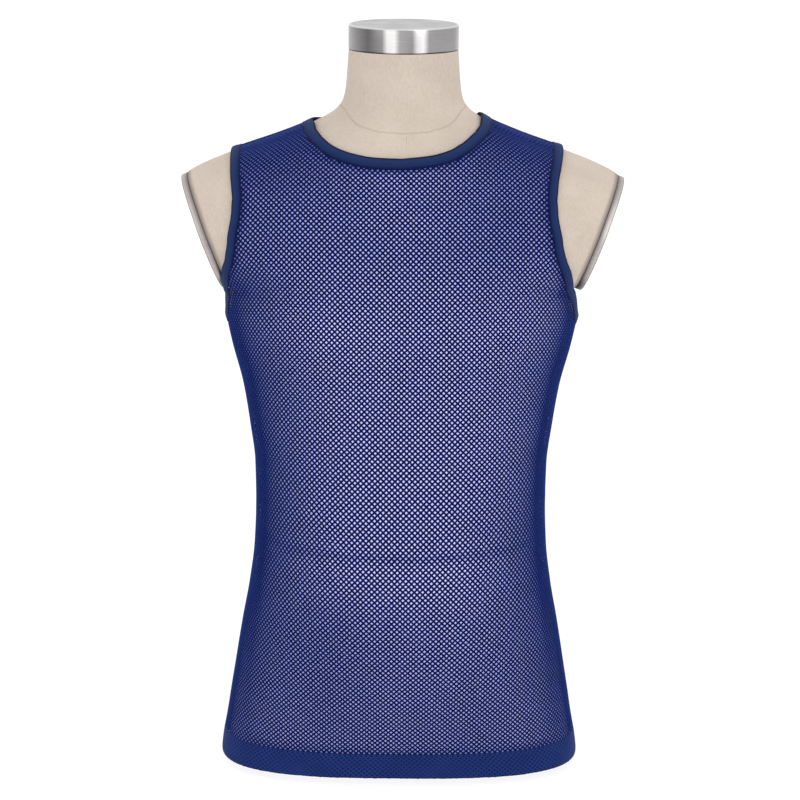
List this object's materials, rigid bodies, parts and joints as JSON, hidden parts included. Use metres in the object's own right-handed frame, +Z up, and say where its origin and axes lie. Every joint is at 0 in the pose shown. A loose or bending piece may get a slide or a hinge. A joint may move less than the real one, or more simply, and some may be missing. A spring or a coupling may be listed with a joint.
{
  "type": "mesh tank top on a limbless dress form",
  "caption": "Sleeveless mesh tank top with bound neck and armholes and a turned hem, worn by a limbless dress form that stands on its own flat base.",
  "frame": {"origin": "middle of the dress form's flat underside, on the surface that it stands on", "axes": "+Z up along the form, the wearer's front faces -Y and the wearer's left is at +X"},
  "size_m": [0.4362, 0.2631, 0.7423],
  "materials": {
    "navy_mesh": "matt knitted mesh with small open holes",
    "navy_jersey": "matt close-knitted jersey",
    "linen_cover": "matt plain-woven natural linen",
    "brushed_steel": "finely brushed bright metal"
  },
  "bodies": {
    "root": {"front_panel": "navy_mesh", "back_panel": "navy_mesh", "neck_binding": "navy_jersey", "armhole_binding_left": "navy_jersey", "armhole_binding_right": "navy_jersey", "dress_form": "linen_cover", "neck_cap": "brushed_steel", "arm_plate_left": "brushed_steel", "arm_plate_right": "brushed_steel"}
  },
  "joints": []
}
